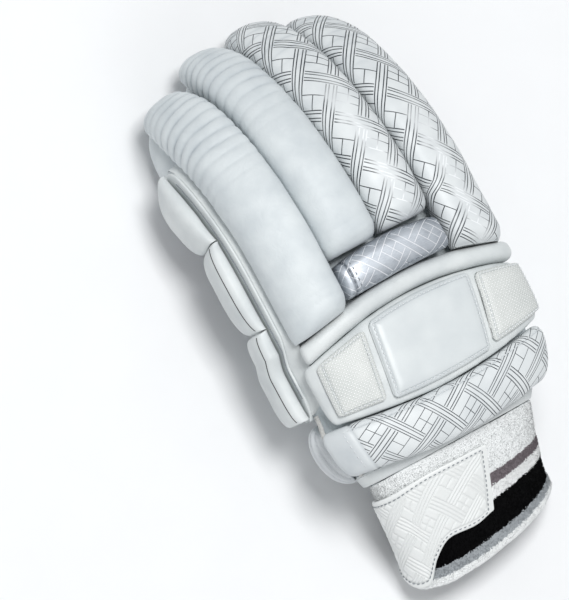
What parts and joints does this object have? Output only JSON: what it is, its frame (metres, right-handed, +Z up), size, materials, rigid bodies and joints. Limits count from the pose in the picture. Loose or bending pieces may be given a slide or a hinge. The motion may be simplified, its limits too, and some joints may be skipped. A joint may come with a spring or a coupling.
{
  "type": "cricket batting glove",
  "caption": "Left-hand batting glove with padded finger rolls, knuckle guard, split thumb pad, side bars, towelling cuff and wrist strap, lying palm down.",
  "frame": {"origin": "on the surface the glove lies on, under the middle of its bounding box", "axes": "+Z up, out of the back of the hand; +Y from the cuff towards the fingertips; +X from the little finger towards the first finger"},
  "size_m": [0.1292, 0.2732, 0.0938],
  "materials": {
    "white_leather": "cool white, soft satin, fine grain",
    "printed_leather": "white with a thin dark grey line lattice, soft satin",
    "silver_leather": "silver-grey, brushed metallic satin",
    "palm_leather": "soft matt white, wrinkled and perforated",
    "knit": "pale lilac-white knit with mesh holes",
    "towelling": "white terry towelling with grey and black stripes",
    "strap_plastic": "embossed soft white plastic, satin"
  },
  "bodies": {
    "root": {"hand_body": "palm_leather", "finger_roll_little": "white_leather", "finger_sleeve_little": "knit", "finger_band_little": "white_leather", "fingertip_cap_little": "white_leather", "finger_roll_ring": "white_leather", "finger_sleeve_ring": "knit", "finger_band_ring": "white_leather", "fingertip_cap_ring": "white_leather", "finger_roll_middle": "printed_leather", "finger_sleeve_middle": "knit", "finger_band_middle": "white_leather", "fingertip_cap_middle": "printed_leather", "finger_roll_index": "printed_leather", "finger_sleeve_index": "knit", "finger_band_index": "white_leather", "fingertip_cap_index": "printed_leather", "knuckle_guard": "silver_leather", "knuckle_piping": "white_leather", "back_pad": "white_leather", "side_panel_little": "white_leather", "centre_panel": "white_leather", "side_panel_index": "white_leather", "wrist_roll": "printed_leather", "heel_gusset": "knit", "side_flange": "white_leather", "side_bar_heel": "white_leather", "side_bar_middle": "white_leather", "side_bar_tip": "white_leather", "thumb_sleeve": "palm_leather", "thumb_pad_heel": "printed_leather", "thumb_pad_tip": "printed_leather", "cuff": "towelling", "wrist_strap": "strap_plastic"}
  },
  "joints": []
}
